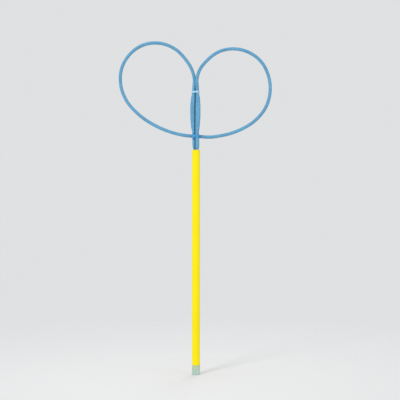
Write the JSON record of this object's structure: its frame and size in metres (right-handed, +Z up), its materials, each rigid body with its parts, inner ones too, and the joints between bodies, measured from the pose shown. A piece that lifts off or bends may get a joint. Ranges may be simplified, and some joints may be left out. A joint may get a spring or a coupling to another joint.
{
  "type": "bubble wand",
  "caption": "Bubble wand: a springy woven hoop folded into two side-by-side loops, tied to its own two-strand stem, on a straight tube handle with a foot plug.",
  "frame": {"origin": "middle of the foot plug's flat end", "axes": "+Z up along the handle towards the hoop, front towards -Y with the hoop's lower run passing behind the stem, +X to the right seen from the front"},
  "size_m": [0.1966, 0.0133, 0.427],
  "materials": {
    "yellow_tube": "extruded, semi-gloss lemon yellow",
    "natural_plug": "moulded, natural translucent",
    "neck_plug": "moulded, natural white",
    "blue_sleeve": "fine woven polyester sleeve, azure blue",
    "springy_core": "drawn nylon rod, natural",
    "clear_band": "pale, nearly clear, glossy",
    "blue_tie": "thin see-through film in the cord's blue, semi-gloss"
  },
  "bodies": {
    "handle": {"handle_tube": "yellow_tube", "foot_plug": "natural_plug"},
    "head": {"neck_plug": "neck_plug", "left_strand_sleeve": "blue_sleeve", "right_strand_sleeve": "blue_sleeve", "left_strand_core": "springy_core", "right_strand_core": "springy_core", "crossing_sleeve": "blue_sleeve", "crossing_core": "springy_core", "stem_band": "clear_band", "crossing_tie": "blue_tie"},
    "left_loop": {"left_loop_sleeve": "blue_sleeve", "left_loop_core": "springy_core"},
    "right_loop": {"right_loop_sleeve": "blue_sleeve", "right_loop_core": "springy_core"}
  },
  "joints": [
    {"name": "head_twist", "type": "hinge", "parent": "handle", "child": "head", "pos_m": [0, 0, 0.2874], "axis": [0, 0, 1], "continuous": true},
    {"name": "left_loop_swing", "type": "hinge", "parent": "head", "child": "left_loop", "pos_m": [-0.008, 0.00551, 0.3057], "axis": [0.0413, -0.0437, 0.9982], "range_deg": [-40, 40], "stiffness_Nm_per_rad": 0.03},
    {"name": "right_loop_swing", "type": "hinge", "parent": "head", "child": "right_loop", "pos_m": [0.008, 0.00551, 0.3047], "axis": [-0.0416, -0.082, 0.9958], "range_deg": [-40, 40], "stiffness_Nm_per_rad": 0.03}
  ]
}
